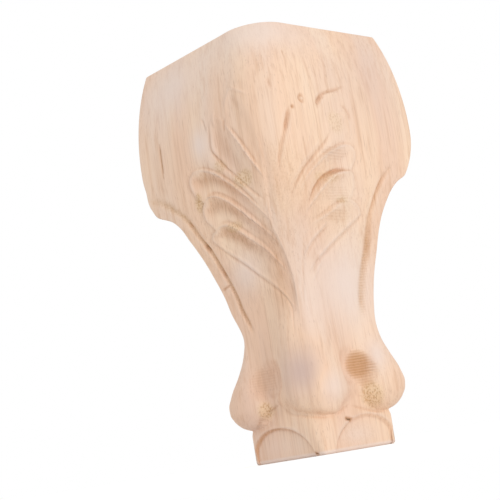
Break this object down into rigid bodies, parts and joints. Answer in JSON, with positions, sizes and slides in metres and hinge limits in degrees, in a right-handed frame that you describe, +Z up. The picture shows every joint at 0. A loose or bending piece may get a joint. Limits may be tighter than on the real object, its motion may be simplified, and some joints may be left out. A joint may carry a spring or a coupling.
{
  "type": "carved furniture leg",
  "caption": "Short carved wooden corner leg with a swelling knee, leaf carving, scrolled ears and a lobed foot, for the corner of a sofa, cabinet or table.",
  "frame": {"origin": "centre of the bounding box at floor level, under the foot", "axes": "+Z up from the foot to the seat face, -Y to the front corner that carries the leaf, +X to the right show face"},
  "size_m": [0.1008, 0.095, 0.15],
  "materials": {
    "bare_wood": "carved and sanded, unfinished"
  },
  "bodies": {
    "root": {"leg": "bare_wood"}
  },
  "joints": []
}
